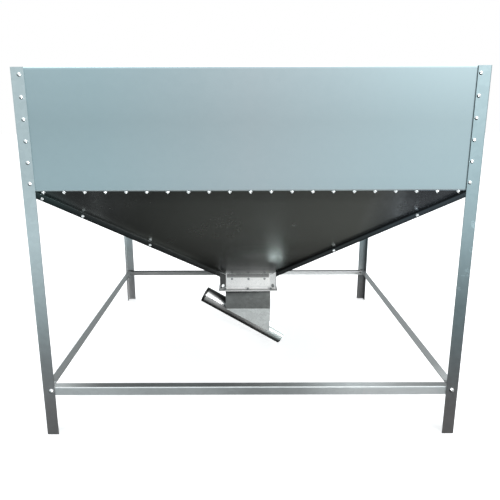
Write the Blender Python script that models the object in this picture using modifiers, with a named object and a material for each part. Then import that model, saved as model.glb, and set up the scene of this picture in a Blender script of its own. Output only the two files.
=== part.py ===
"""Square feed bin of folded galvanised sheet on four angle legs.

The bin has flat walls, a four-sided hopper, a square collar at the outlet, and a chute box that
feeds a slanted auger tube. Metres, +Z up. The origin is on the floor under the bin's centre, and
the front faces -Y. Every side is drawn as the front one and then turned about Z.
"""
import math

import bmesh
import bpy

# Overall size
BIN_HALF = 0.75
BIN_HEIGHT = 1.29
GAP = 0.0003
SAME_PLACE = 1e-6
NEAR = 0.001

# Angle legs, corner outward
LEG_WIDTH = 0.0425
LEG_THICKNESS = 0.003
LEG_INNER_RADIUS = 0.0015
ARC_STEPS = 4

# Sheet of the walls, the hopper and the collar
SHEET = 0.0015
SHEET_BEND = 0.0025
BEND_STEPS = 3
BEND_LEAST_ANGLE = math.radians(20)
SEAM_GAP = 0.0003

# Walls
WALL_FACE = BIN_HALF - LEG_THICKNESS - GAP
WALL_END_GAP = 0.002
WALL_END = WALL_FACE - WALL_END_GAP
WALL_BOTTOM = 0.902
WALL_RIM_WIDTH = 0.020
WALL_FLANGE_WIDTH = 0.027

# Rails between the legs
RAIL_WIDTH = 0.0315
RAIL_THICKNESS = 0.003
RAIL_TOP = 0.190
RAIL_END = WALL_FACE - RAIL_THICKNESS - 2 * GAP
RAIL_BEND = 0.004

# Collar round the outlet
OUTLET_HALF = 0.105
COLLAR_INSIDE = OUTLET_HALF - SHEET
COLLAR_BOTTOM = 0.350
COLLAR_TOP = 0.4168
COLLAR_FLANGE_WIDTH = 0.031
COLLAR_RELIEF = 0.004
CORNER_FLANGE_REACH = 0.025
CORNER_FLANGE_RISE = 0.0203

# Hopper
HOPPER_TOP = WALL_BOTTOM - GAP
HOPPER_TOP_HALF = 0.7256
HOPPER_FLANGE_HALF = 0.745
HOPPER_END = 0.3978
HOPPER_END_HALF = 0.076
SLOPE = (HOPPER_TOP - HOPPER_END) / (HOPPER_TOP_HALF - HOPPER_END_HALF)
HIP_ANGLE = math.atan(SLOPE / math.sqrt(2.0))
FIN_WIDTH = 0.021
HOPPER_BEND = 0.002
FIN_END_HALF = OUTLET_HALF + CORNER_FLANGE_REACH + GAP

# Chute box and its flange
CHUTE_PLATE = 0.002
CHUTE_FLANGE = 0.0027
CHUTE_FLANGE_BOTTOM = COLLAR_BOTTOM - GAP - CHUTE_FLANGE
CHUTE_TOP = CHUTE_FLANGE_BOTTOM - GAP
CHUTE_FOLD = 0.250
CHUTE_END = OUTLET_HALF - CHUTE_PLATE - GAP
CHUTE_FOOT_HALF = 0.036
TRIM_BLOCK = (0.100, 0.300, 0.400)

# Auger tube, its middle on the plane Y = 0
TUBE_RADIUS = 0.038
TUBE_WALL = 0.002
TUBE_LENGTH = 0.438
TUBE_SLOPE = math.radians(30.5)
TUBE_MIDDLE_X = -0.0215
TUBE_MIDDLE_Z = 0.177
TUBE_SIDES = 48
SLOT_MIDDLE_X = -0.0085
SLOT_LENGTH = 0.200
SLOT_WIDTH = 0.100
SLOT_HEIGHT = 0.040
SLOT_RISE = 0.012

SIDE_NAMES = ("front", "right", "back", "left")
LEG_NAMES = ("leg_front_left", "leg_front_right", "leg_back_right", "leg_back_left")

# Finish: colour, roughness and metallic value
PALE_SHEET = ((0.50, 0.58, 0.61), 0.38, 0.85)
SLOPED_SHEET = ((0.30, 0.31, 0.31), 0.42, 0.85)
ANGLE_STEEL = ((0.52, 0.58, 0.60), 0.42, 0.85)
COLLAR_SHEET = ((0.70, 0.73, 0.73), 0.45, 0.80)
CHUTE_STEEL = ((0.42, 0.44, 0.45), 0.45, 0.80)
TUBE_STEEL = ((0.60, 0.62, 0.63), 0.22, 0.95)


def clear_scene():
    for item in list(bpy.data.objects):
        bpy.data.objects.remove(item, do_unlink=True)


def new_collection(name):
    group = bpy.data.collections.new(name)
    bpy.context.scene.collection.children.link(group)
    return group


def finish_material(name, finish):
    colour, roughness, metallic = finish
    material = bpy.data.materials.new(name)
    material.use_nodes = True
    shader = material.node_tree.nodes["Principled BSDF"]
    shader.inputs["Base Color"].default_value = (*colour, 1.0)
    shader.inputs["Roughness"].default_value = roughness
    shader.inputs["Metallic"].default_value = metallic
    return material


def place(obj, finish, side=0):
    """Put a piece in the bin's collection, turned to its side."""
    for group in list(obj.users_collection):
        group.objects.unlink(obj)
    PARTS.objects.link(obj)
    obj.parent = CENTRE
    obj.rotation_euler.z += side * math.pi / 2
    obj.data.materials.append(finish_material(obj.name, finish))
    return obj


def place_cutter(obj):
    for group in list(obj.users_collection):
        group.objects.unlink(obj)
    CUTTERS.objects.link(obj)
    obj.hide_render = True
    obj.display_type = "WIRE"
    return obj


def folded_strip(rows):
    """A strip of sheet across one side, from its rows of (half width, distance out, height)."""
    bm = bmesh.new()
    bmesh.ops.create_grid(bm, x_segments=1, y_segments=len(rows) - 1, size=1.0)
    corners = sorted(bm.verts, key=lambda vert: (round(vert.co.y, 4), vert.co.x))
    for index, vert in enumerate(corners):
        half, out, height = rows[index // 2]
        hand = 1.0 if index % 2 else -1.0
        vert.co = (hand * half, -out, height)
    return bm


def edge_between(bm, low, high):
    """The two side edges of the strip that run from one height to another."""
    found = []
    for edge in bm.edges:
        heights = sorted(vert.co.z for vert in edge.verts)
        same_hand = edge.verts[0].co.x * edge.verts[1].co.x > 0
        off = max(abs(heights[0] - low), abs(heights[1] - high))
        if same_hand and off < SAME_PLACE:
            found.append(edge)
    return found


def fold_flange(bm, edge, corner):
    """Fold a flange along an edge; corner gives where each end of the edge goes."""
    made = bmesh.ops.extrude_edge_only(bm, edges=[edge])["geom"]
    for vert in made:
        if isinstance(vert, bmesh.types.BMVert):
            vert.co = corner(vert.co.copy())


def face_inward(bm):
    """Turn all faces the same way, the largest one towards the bin's inside."""
    bmesh.ops.recalc_face_normals(bm, faces=bm.faces)
    bm.normal_update()
    largest = max(bm.faces, key=lambda face: face.calc_area())
    if largest.normal.y < 0:
        bmesh.ops.reverse_faces(bm, faces=bm.faces)


def sheet_object(name, bm, thickness, inward, bend=0.0):
    """Give an open folded surface its thickness, inward or outward of the surface."""
    face_inward(bm)
    mesh = bpy.data.meshes.new(name)
    bm.to_mesh(mesh)
    bm.free()
    obj = bpy.data.objects.new(name, mesh)
    if bend > 0.0:
        bevel = obj.modifiers.new("bend", "BEVEL")
        bevel.width = bend
        bevel.segments = BEND_STEPS
        bevel.limit_method = "ANGLE"
        bevel.angle_limit = BEND_LEAST_ANGLE
    shell = obj.modifiers.new("thickness", "SOLIDIFY")
    shell.thickness = thickness
    shell.offset = 1.0 if inward else -1.0
    shell.use_even_offset = True
    shell.use_quality_normals = True
    return obj


def cut(obj, cutter):
    boolean = obj.modifiers.new("cut", "BOOLEAN")
    boolean.operation = "DIFFERENCE"
    boolean.solver = "EXACT"
    boolean.object = cutter


def arc(middle, radius, start, end):
    """Points on an arc, angles in degrees."""
    points = []
    for step in range(ARC_STEPS + 1):
        turn = math.radians(start + (end - start) * step / ARC_STEPS)
        points.append((middle + radius * math.cos(turn), middle + radius * math.sin(turn)))
    return points


def flat_plate(name, outlines, thickness):
    """A flat plate from closed outlines in X and Y; an inner outline is a hole."""
    curve = bpy.data.curves.new(name, "CURVE")
    curve.dimensions = "2D"
    curve.fill_mode = "BOTH"
    curve.extrude = thickness / 2
    for outline in outlines:
        spline = curve.splines.new("POLY")
        spline.points.add(len(outline) - 1)
        for point, place_xy in zip(spline.points, outline):
            point.co = (*place_xy, 0.0, 1.0)
        spline.use_cyclic_u = True
    return bpy.data.objects.new(name, curve)


def square(half):
    return [(-half, -half), (half, -half), (half, half), (-half, half)]


def tube_height(x):
    """Height of the tube's axis over the floor at a place along X."""
    return TUBE_MIDDLE_Z - (x - TUBE_MIDDLE_X) * math.tan(TUBE_SLOPE)


def slope_height(half):
    """Height of the hopper's inner face where the hopper is that wide."""
    return HOPPER_END + (half - HOPPER_END_HALF) * SLOPE


def add_legs():
    outer = LEG_INNER_RADIUS + LEG_THICKNESS
    section = [(LEG_WIDTH, 0.0), (LEG_WIDTH, LEG_THICKNESS)]
    section += arc(outer, LEG_INNER_RADIUS, 270, 180)
    section += [(LEG_THICKNESS, LEG_WIDTH), (0.0, LEG_WIDTH)]
    section += arc(outer, outer, 180, 270)
    outline = [(x - BIN_HALF, y - BIN_HALF) for x, y in section]
    for side, name in enumerate(LEG_NAMES):
        leg = flat_plate(name, [outline], BIN_HEIGHT)
        leg.location.z = BIN_HEIGHT / 2
        place(leg, ANGLE_STEEL, side)


def add_walls():
    rim_half = WALL_END - WALL_RIM_WIDTH
    flange_half = WALL_END - WALL_FLANGE_WIDTH
    rows = [
        (rim_half, WALL_FACE - WALL_RIM_WIDTH, BIN_HEIGHT),
        (WALL_END, WALL_FACE, BIN_HEIGHT),
        (WALL_END, WALL_FACE, WALL_BOTTOM),
        (flange_half, WALL_FACE - WALL_FLANGE_WIDTH, WALL_BOTTOM),
    ]
    for side, name in enumerate(SIDE_NAMES):
        bm = folded_strip(rows)
        wall = sheet_object("wall_" + name, bm, SHEET, inward=True, bend=SHEET_BEND)
        place(wall, PALE_SHEET, side)


def add_rails():
    rows = [
        (RAIL_END - RAIL_WIDTH, WALL_FACE - RAIL_WIDTH, RAIL_TOP),
        (RAIL_END, WALL_FACE, RAIL_TOP),
        (RAIL_END, WALL_FACE, RAIL_TOP - RAIL_WIDTH),
    ]
    for side, name in enumerate(SIDE_NAMES):
        bm = folded_strip(rows)
        rail = sheet_object("rail_" + name, bm, RAIL_THICKNESS, inward=True, bend=RAIL_BEND)
        place(rail, ANGLE_STEEL, side)


def fin_corner(point):
    """Lower edge of the flange that hangs from a hip, cut upright beside the collar."""
    hand = math.copysign(1.0, point.x)
    if point.x * hand < HOPPER_TOP_HALF / 2:
        return (point.x, point.y, point.z - FIN_WIDTH / math.cos(HIP_ANGLE))
    reach = FIN_WIDTH * math.sin(HIP_ANGLE) / math.sqrt(2.0)
    drop = FIN_WIDTH * math.cos(HIP_ANGLE)
    return (point.x + hand * reach, point.y - reach, point.z - drop)


def add_hopper():
    fin_low = slope_height(FIN_END_HALF)
    rows = [
        (HOPPER_FLANGE_HALF - SEAM_GAP, HOPPER_FLANGE_HALF, HOPPER_TOP),
        (HOPPER_TOP_HALF - SEAM_GAP, HOPPER_TOP_HALF, HOPPER_TOP),
        (FIN_END_HALF - SEAM_GAP, FIN_END_HALF, fin_low),
        (HOPPER_END_HALF - SEAM_GAP, HOPPER_END_HALF, HOPPER_END),
    ]
    for side, name in enumerate(SIDE_NAMES):
        bm = folded_strip(rows)
        for edge in edge_between(bm, fin_low, HOPPER_TOP):
            fold_flange(bm, edge, fin_corner)
        sheet = sheet_object("hopper_" + name, bm, SHEET, inward=False, bend=HOPPER_BEND)
        place(sheet, SLOPED_SHEET, side)


def corner_flange(point):
    """Outer edge of the collar's corner flange, on the diagonal and under the hopper's hip."""
    hand = math.copysign(1.0, point.x)
    reach = SHEET + CORNER_FLANGE_REACH
    rise = CORNER_FLANGE_RISE if point.z > COLLAR_TOP - NEAR else 0.0
    return (point.x + hand * reach, point.y - reach, point.z + rise)


def add_collar():
    """Four plates whose upright webs reach the hopper's underside."""
    half = COLLAR_INSIDE - SEAM_GAP
    flange_out = OUTLET_HALF + COLLAR_FLANGE_WIDTH
    relief = COLLAR_BOTTOM + COLLAR_RELIEF
    rows = [
        (half, COLLAR_INSIDE, COLLAR_TOP),
        (half, COLLAR_INSIDE, relief),
        (half, COLLAR_INSIDE, COLLAR_BOTTOM),
        (flange_out - SEAM_GAP, flange_out, COLLAR_BOTTOM),
    ]
    for side, name in enumerate(SIDE_NAMES):
        bm = folded_strip(rows)
        for edge in edge_between(bm, relief, COLLAR_TOP):
            fold_flange(bm, edge, corner_flange)
        plate = sheet_object("collar_" + name, bm, SHEET, inward=False, bend=HOPPER_BEND)
        place(plate, COLLAR_SHEET, side)


def add_chute_flange():
    outer = square(OUTLET_HALF + COLLAR_FLANGE_WIDTH)
    inner = square(OUTLET_HALF - CHUTE_PLATE)
    ring = flat_plate("chute_flange", [outer, inner], CHUTE_FLANGE)
    ring.location.z = CHUTE_FLANGE_BOTTOM + CHUTE_FLANGE / 2
    place(ring, COLLAR_SHEET)


def add_tube():
    """The auger tube, open at both ends and along its top inside the chute box."""
    turn = (0.0, math.pi / 2 + TUBE_SLOPE, 0.0)
    middle = (TUBE_MIDDLE_X, 0.0, TUBE_MIDDLE_Z)
    bpy.ops.mesh.primitive_cylinder_add(
        vertices=TUBE_SIDES, radius=TUBE_RADIUS, depth=TUBE_LENGTH,
        end_fill_type="NOTHING", location=middle, rotation=turn)
    tube = bpy.context.object
    tube.name = "auger_tube"
    tube.data.shade_smooth()
    shell = tube.modifiers.new("wall", "SOLIDIFY")
    shell.thickness = TUBE_WALL
    shell.offset = -1.0
    shell.use_even_offset = True
    across = SLOT_RISE + SLOT_HEIGHT / 2
    slot_middle = (
        SLOT_MIDDLE_X + across * math.sin(TUBE_SLOPE), 0.0,
        tube_height(SLOT_MIDDLE_X) + across * math.cos(TUBE_SLOPE))
    bpy.ops.mesh.primitive_cube_add(size=1.0, location=slot_middle, rotation=turn)
    slot = place_cutter(bpy.context.object)
    slot.name = "slot_cutter"
    slot.scale = (SLOT_HEIGHT, SLOT_WIDTH, SLOT_LENGTH)
    cut(tube, slot)
    place(tube, TUBE_STEEL)
    bpy.ops.mesh.primitive_cylinder_add(
        vertices=TUBE_SIDES, radius=TUBE_RADIUS + GAP, depth=TUBE_LENGTH,
        location=middle, rotation=turn)
    clearance = place_cutter(bpy.context.object)
    clearance.name = "tube_clearance"
    return clearance


def add_chute_ends(clearance):
    """The upright left and right plates, cut round the tube that passes through them."""
    for side, hand in ((1, 1.0), (3, -1.0)):
        rows = [
            (OUTLET_HALF, OUTLET_HALF, CHUTE_TOP),
            (OUTLET_HALF, OUTLET_HALF, CHUTE_FOLD),
            (CHUTE_FOOT_HALF, OUTLET_HALF, tube_height(hand * OUTLET_HALF)),
        ]
        bm = folded_strip(rows)
        plate = sheet_object("chute_" + SIDE_NAMES[side], bm, CHUTE_PLATE, inward=True)
        place(plate, CHUTE_STEEL, side)
        cut(plate, clearance)


def add_end_trims():
    """Two blocks that trim the front and back plates square, just inside the end plates."""
    trims = []
    for hand in (-1.0, 1.0):
        place_x = hand * (CHUTE_END + TRIM_BLOCK[0] / 2)
        bpy.ops.mesh.primitive_cube_add(size=1.0, location=(place_x, 0.0, CHUTE_FOLD))
        trim = place_cutter(bpy.context.object)
        trim.name = "end_trim"
        trim.scale = TRIM_BLOCK
        trims.append(trim)
    return trims


def add_chute_faces(clearance):
    """The front and back plates, folded in below to the tube's sides."""
    trims = add_end_trims()
    for side, hand in ((0, 1.0), (2, -1.0)):
        rows = [
            (OUTLET_HALF, OUTLET_HALF, CHUTE_TOP),
            (OUTLET_HALF, OUTLET_HALF, CHUTE_FOLD),
            (OUTLET_HALF, CHUTE_FOOT_HALF, 0.0),
        ]
        bm = folded_strip(rows)
        for vert in bm.verts:
            if vert.co.z < CHUTE_FOLD - NEAR:
                vert.co.z = tube_height(hand * vert.co.x)
        bm.verts.index_update()
        fold = [vert for vert in bm.verts if abs(vert.co.z - CHUTE_FOLD) < SAME_PLACE]
        foot = [vert for vert in bm.verts if vert.co.z < CHUTE_FOLD - NEAR]
        high_end = min(fold, key=lambda vert: hand * vert.co.x)
        low_end = max(foot, key=lambda vert: hand * vert.co.x)
        bmesh.ops.connect_verts(bm, verts=[high_end, low_end])
        plate = sheet_object("chute_" + SIDE_NAMES[side], bm, CHUTE_PLATE, inward=True)
        place(plate, CHUTE_STEEL, side)
        for cutter in (clearance, *trims):
            cut(plate, cutter)


clear_scene()
PARTS = new_collection("feed_bin")
CUTTERS = new_collection("cutters")
CENTRE = bpy.data.objects.new("floor_centre", None)
PARTS.objects.link(CENTRE)

add_legs()
add_walls()
add_rails()
add_hopper()
add_collar()
add_chute_flange()
tube_clearance = add_tube()
add_chute_ends(tube_clearance)
add_chute_faces(tube_clearance)
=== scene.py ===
"""Looks of the square galvanised feed bin: materials, bolts, welds, floor, light and camera."""
import math
import random

import bmesh
import bpy
from mathutils import Matrix, Vector


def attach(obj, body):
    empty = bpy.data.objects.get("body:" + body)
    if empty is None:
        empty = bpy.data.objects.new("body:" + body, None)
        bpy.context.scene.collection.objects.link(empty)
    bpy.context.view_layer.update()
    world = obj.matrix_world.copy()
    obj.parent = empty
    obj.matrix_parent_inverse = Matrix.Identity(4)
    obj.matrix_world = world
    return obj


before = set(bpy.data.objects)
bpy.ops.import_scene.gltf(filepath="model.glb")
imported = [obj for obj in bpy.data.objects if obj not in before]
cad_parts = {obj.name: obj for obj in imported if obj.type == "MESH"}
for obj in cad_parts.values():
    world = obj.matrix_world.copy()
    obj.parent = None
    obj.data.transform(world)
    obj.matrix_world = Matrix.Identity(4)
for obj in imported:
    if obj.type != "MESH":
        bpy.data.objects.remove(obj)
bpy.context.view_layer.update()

# Sizes repeated from the part's source, in metres
GAP = 0.0003
SHEET = 0.0015
BIN_HALF = 0.75
LEG_THICKNESS = 0.003
WALL_FACE = BIN_HALF - LEG_THICKNESS - GAP
WALL_BOTTOM = 0.902
RAIL_THICKNESS = 0.003
HOPPER_TOP = WALL_BOTTOM - GAP
HOPPER_TOP_HALF = 0.7256
HOPPER_FLANGE_UNDER = HOPPER_TOP - SHEET
HOPPER_END = 0.3978
HOPPER_END_HALF = 0.076
SLOPE = (HOPPER_TOP - HOPPER_END) / (HOPPER_TOP_HALF - HOPPER_END_HALF)
HIP_ANGLE = math.atan(SLOPE / math.sqrt(2.0))
FIN_WIDTH = 0.021
OUTLET_HALF = 0.105
COLLAR_INSIDE = OUTLET_HALF - SHEET
COLLAR_TOP = 0.4168
COLLAR_BOTTOM = 0.350
COLLAR_FLANGE_TOP = COLLAR_BOTTOM + SHEET
CHUTE_FLANGE = 0.0027
CHUTE_FLANGE_BOTTOM = COLLAR_BOTTOM - GAP - CHUTE_FLANGE
CHUTE_TOP = CHUTE_FLANGE_BOTTOM - GAP
TUBE_RADIUS = 0.038
TUBE_SLOPE = math.radians(30.5)
TUBE_MIDDLE = Vector((-0.0215, 0.0, 0.177))

# Bolts: shank radius, head radius, head height, nut half width across flats, nut height
M5 = (0.0025, 0.0052, 0.0032, 0.0040, 0.0040)
M6 = (0.0030, 0.0064, 0.0038, 0.0050, 0.0050)
M6_WIDE = (0.0030, 0.0070, 0.0038, 0.0054, 0.0050)
M8 = (0.0040, 0.0086, 0.0050, 0.0065, 0.0060)

# A washer's thickness, the thread past a nut, its pitch, and a nut's largest random turn
WASHER = 0.0012
TAIL = 0.0030
PITCH = 0.0010
NUT_TURN = 1.05

# Sides of heads, nuts and washers and of threads, and the angle that makes an edge sharp
HEAD_SIDES = 24
THREAD_SIDES = 16
SHARP_ANGLE = math.radians(35)

# Shapes of head, nut and thread, as parts of their radius, their height or one pitch
HEAD_FOOT = 0.92
HEAD_EDGE = (0.10, 0.22)
DOME_STEPS = 6
WASHER_REACH = 1.22
NUT_FOOT = 0.97
NUT_CROWN = 0.95
NUT_CHAMFER = 0.14
THREAD_CREST = 0.98
THREAD_ROOT = 0.84
THREAD_TIP = 0.80
ROOT_AT = 0.1
CREST_AT = 0.5
TIP_AT = 0.3

# Where the bolts are; the hips' ones lie under the hip's line, and FIN_FACE is half the
# thickness of what they go through
LEG_BOLTS_X = (-0.7226, 0.7163)
LEG_BOLT_TOP = 1.267
LEG_BOLT_SPACING = 0.0682
LEG_BOLTS = 6
EDGE_BOLTS = 21
EDGE_BOLT_SPACING = 0.0686
EDGE_BOLT_OUT = 0.736
RAIL_BOLTS_X = (-0.7200, 0.7270)
RAIL_BOLT_Z = 0.1768
HIP_BOLT_UNDER = 0.0135
FIN_FACE = 0.0017
HIP_BOLTS_LEFT = (0.7050, 0.6028, 0.4010)
HIP_BOLTS_RIGHT = (0.6033, 0.3540)
COLLAR_BOLTS_X = (-0.0746, 0.0025, 0.0773)
COLLAR_BOLT_Z = 0.3980
FLANGE_BOLTS_X = (-0.106, 0.0, 0.106)
FLANGE_BOLT_OUT = 0.123
CORNER_BOLT_OUT = 0.118
CORNER_BOLT_Z = 0.369

# Weld beads: radii, ring spacing, ripples, and how far the seams and the saddles reach
TUBE_BEAD = 0.0019
FLANGE_BEAD = 0.0016
BEAD_STEP = 0.0009
BEAD_SIDES = 8
BEAD_TAPER = 0.35
BEAD_RIPPLES = (0.86, 1.0, 1.08)
BEAD_WOBBLE = 0.06
BEAD_ASIDE = Vector((0.13, 0.31, 0.94))
SEAM_TURN = math.radians(86.0)
SEAM_INSET = 0.002
SADDLE_DEGREES = 84.0
SADDLE_STEPS = 130
SADDLE_OUT = 0.0006

# Lighter patches on the front right leg, near its outer corner: middle and reach
PALE_PATCHES = (
    ((0.737, -0.75, 0.618), 0.034), ((0.749, -0.75, 0.700), 0.026),
    ((0.748, -0.75, 0.785), 0.030), ((0.716, -0.75, 0.560), 0.016))
PALE_PATCH_SCALE = 110.0
PALE_PATCH_RAGGED = 1.1
PALE_PATCH_LIMIT = 0.62

# Zinc: pattern scales, the noise level past which a fleck shows, and how deep roughness and
# bumps go
CRYSTALS = 70.0
BOLT_CRYSTALS = 300.0
CLOUD_SCALE = 2.6
STREAK_SCALE = 9.0
STREAK_STRETCH = (1.0, 1.0, 0.25)
GRAIN_SCALE = 420.0
FLECK_SCALE = 240.0
FLECK_LIMIT = 0.60
ROUGH_SPREAD = 0.06
CRYSTAL_BUMP = 0.35
GRAIN_STRENGTH = 0.05
GRAIN_HEIGHT = 0.0002
SWELL_SCALE = 3.0
SWELL_HEIGHT = 0.02

# How metallic legs and tube look, each with the part that looks less so
LEG_METALLIC = 0.92
STRIP_METALLIC = 0.22
TUBE_METALLIC = 0.30
GLARE_METALLIC = 0.15
FAR_RAIL_GLOSS = 0.1

# A face's direction along an axis, from 0 to 1, past which it counts as facing that way;
# for faces turned to the ground the paler matt colour of painted light fades in
FACING_UP = 0.95
FACING_RIGHT = 0.9
FACING_DOWN = ((0.30, 1.0), (0.42, 0.0))

# The Y past which a rail isn't the front one, and half the width of the strip of painted shade
# that each of the collar's webs has at its top
FRONT_RAIL_BACK = -0.7
SHADED_STRIP_HALF = 0.0985

# White, which as a factor changes nothing
WHITE = (1.0, 1.0, 1.0)

# Camera, solved from the photo's edges
IMAGE_WIDTH = 500.0
SENSOR_WIDTH = 36.0
FOCAL_PIXELS = 535.6
PRINCIPAL_X = 239.994
PITCH_DOWN = math.radians(14.249)
YAW = math.radians(-0.0898)
ROLL = math.radians(-0.2034)
CAMERA_PLACE = Vector((-0.0330, -2.5008, 1.1455))

# Surroundings that the object mirrors: brightness by bearing, then by distance over the ground
HORIZON = (
    (0.0, 0.55), (0.16, 0.62), (0.206, 0.66), (0.25, 0.72), (0.294, 0.88), (0.375, 0.90),
    (0.44, 0.50), (0.5, 0.35), (0.66, 0.30), (0.75, 0.45), (0.84, 0.60), (1.0, 0.55))
AIR_TINT = (0.84, 1.0, 1.05)
SKY = (0.98, 1.0, 1.0)
SKY_RISE = ((0.10, 0.0), (0.70, 1.0))
GROUND_MIDDLE = (0.9, 0.2, 0.0)
GROUND_SCALE = 0.1
GROUND_RISE = (
    (0.115, 0.20), (0.17, 0.23), (0.22, 0.33), (0.264, 0.48), (0.34, 0.80), (0.44, 0.95),
    (0.8, 1.0))
AIR_RISE = ((0.12, 0.0), (0.35, 1.0))
# The ground's painted shadow under the object, as the object mirrors it
SHADE_LEVEL = 0.070
SHADE_SLANT = 0.055
SHADE_TINT = (1.0, 1.02, 0.93)
SHADE_EDGE = ((0.62, 0.0), (1.0, 1.0))

# The floor that the camera sees
FLOOR_SIZE = 60.0
FLOOR_DROP = 0.0006
FLOOR_GREY = (0.86, 0.86, 0.86, 1.0)
FLOOR_GLOW = 0.56


def add_camera():
    """The photo's camera, turned by yaw and pitch and then rolled about its line of sight."""
    fwd = Vector((
        math.sin(YAW) * math.cos(PITCH_DOWN),
        math.cos(YAW) * math.cos(PITCH_DOWN),
        -math.sin(PITCH_DOWN)))
    level = Vector((math.cos(YAW), -math.sin(YAW), 0.0))
    upward = level.cross(fwd)
    right = math.cos(ROLL) * level + math.sin(ROLL) * upward
    up = -math.sin(ROLL) * level + math.cos(ROLL) * upward
    data = bpy.data.cameras.new("camera")
    data.sensor_width = SENSOR_WIDTH
    data.lens = FOCAL_PIXELS * SENSOR_WIDTH / IMAGE_WIDTH
    data.shift_x = (IMAGE_WIDTH / 2 - PRINCIPAL_X) / IMAGE_WIDTH
    data.clip_end = 200.0
    camera = bpy.data.objects.new("camera", data)
    bpy.context.scene.collection.objects.link(camera)
    turn = Matrix((right, up, -fwd)).transposed()
    camera.matrix_world = Matrix.Translation(CAMERA_PLACE) @ turn.to_4x4()
    bpy.context.scene.camera = camera


def place_lamp(data, place, target, power, colour):
    """A lamp object for the light data, aimed at its target."""
    data.energy = power
    data.color = colour
    lamp = bpy.data.objects.new(data.name, data)
    bpy.context.scene.collection.objects.link(lamp)
    lamp.location = place
    way = Vector(target) - Vector(place)
    lamp.rotation_euler = way.to_track_quat("-Z", "Y").to_euler()
    return lamp


def area_light(name, place, target, size, power, colour):
    """A square or oblong soft lamp that the camera doesn't see."""
    data = bpy.data.lights.new(name, "AREA")
    data.shape = "RECTANGLE"
    data.size, data.size_y = size
    lamp = place_lamp(data, place, target, power, colour)
    lamp.visible_camera = False
    return lamp


def spot_light(name, place, target, angle, power, colour):
    """A narrow lamp; its angle is in degrees."""
    data = bpy.data.lights.new(name, "SPOT")
    data.spot_size = math.radians(angle)
    data.spot_blend = 0.6
    data.shadow_soft_size = 0.12
    return place_lamp(data, place, target, power, colour)


def light_only(lamp, pieces):
    """Let a lamp fall on some pieces alone."""
    group = bpy.data.collections.new(lamp.name + "_receivers")
    for piece in pieces:
        group.objects.link(piece)
    lamp.light_linking.receiver_collection = group


def math_node(tree, operation, *values):
    """A math node's result; each value may be a socket or a number."""
    node = tree.nodes.new("ShaderNodeMath")
    node.operation = operation
    for socket, value in zip(node.inputs, values):
        if isinstance(value, bpy.types.NodeSocket):
            tree.links.new(value, socket)
        else:
            socket.default_value = value
    return node.outputs[0]


def times(tree, first, *others):
    """The product of some values."""
    product = first
    for value in others:
        product = math_node(tree, "MULTIPLY", product, value)
    return product


def over(tree, value, limit):
    """1 where the value is over the limit, and 0 elsewhere."""
    return math_node(tree, "GREATER_THAN", value, limit)


def ramp(tree, factor, stops):
    """A value that follows the stops, each one a place from 0 to 1 and a grey level."""
    node = tree.nodes.new("ShaderNodeValToRGB")
    elements = node.color_ramp.elements
    while len(elements) < len(stops):
        elements.new(1.0)
    for element, (place, level) in zip(elements, stops):
        element.position = place
        element.color = (level, level, level, 1.0)
    tree.links.new(factor, node.inputs[0])
    return node.outputs[0]


def blend(tree, factor, first, second):
    """A mix of two colours; each of the three may be a socket, a colour or a number."""
    mix = tree.nodes.new("ShaderNodeMix")
    mix.data_type = "RGBA"
    # The node's inputs 6 and 7 and its output 2 are the ones for colours
    for socket, value in ((mix.inputs[0], factor), (mix.inputs[6], first), (mix.inputs[7], second)):
        if isinstance(value, bpy.types.NodeSocket):
            tree.links.new(value, socket)
        elif isinstance(value, tuple):
            socket.default_value = (*value, 1.0)
        else:
            socket.default_value = value
    return mix.outputs[2]


def tinted(tree, level, colour):
    """A colour, or a socket that gives one, made brighter or darker by a level."""
    node = tree.nodes.new("ShaderNodeVectorMath")
    node.operation = "SCALE"
    if isinstance(colour, tuple):
        node.inputs[0].default_value = colour
    else:
        tree.links.new(colour, node.inputs[0])
    tree.links.new(level, node.inputs["Scale"])
    return node.outputs[0]


def distance_from(tree, coords, middle):
    """How far a point lies from a middle."""
    node = tree.nodes.new("ShaderNodeVectorMath")
    node.operation = "DISTANCE"
    tree.links.new(coords, node.inputs[0])
    node.inputs[1].default_value = middle
    return node.outputs["Value"]


def noise(tree, coords, scale, detail, stretch=(1.0, 1.0, 1.0)):
    """Cloudy noise from 0 to 1; stretch scales it along the axes."""
    mapping = tree.nodes.new("ShaderNodeMapping")
    mapping.inputs["Scale"].default_value = stretch
    tree.links.new(coords, mapping.inputs["Vector"])
    node = tree.nodes.new("ShaderNodeTexNoise")
    node.inputs["Scale"].default_value = scale
    node.inputs["Detail"].default_value = detail
    tree.links.new(mapping.outputs[0], node.inputs["Vector"])
    return node.outputs["Fac"]


def object_coords(tree):
    return tree.nodes.new("ShaderNodeTexCoord").outputs["Object"]


def parts_of(tree, vector):
    """A vector's X, Y and Z."""
    split = tree.nodes.new("ShaderNodeSeparateXYZ")
    tree.links.new(vector, split.inputs[0])
    return list(split.outputs)


def place_parts(tree):
    """A point's X, Y and Z in the object, which are the bin's own."""
    return parts_of(tree, object_coords(tree))


def normal_parts(tree):
    """The face's direction along X, Y and Z, each one from -1 to 1."""
    return parts_of(tree, tree.nodes.new("ShaderNodeNewGeometry").outputs["Normal"])


def half_way(tree, value):
    """A value from -1 to 1 moved to 0 to 1."""
    return math_node(tree, "MULTIPLY_ADD", value, 0.5, 0.5)


def facing_parts(tree):
    """The face's direction along X, Y and Z, each one from 0 to 1."""
    return [half_way(tree, part) for part in normal_parts(tree)]


def horizon(tree, vector):
    """Brightness of the surroundings by bearing; 0.25 is the front, 0.5 the right."""
    bearing = tree.nodes.new("ShaderNodeTexGradient")
    bearing.gradient_type = "RADIAL"
    tree.links.new(vector, bearing.inputs["Vector"])
    return ramp(tree, bearing.outputs["Fac"], HORIZON)


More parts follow.
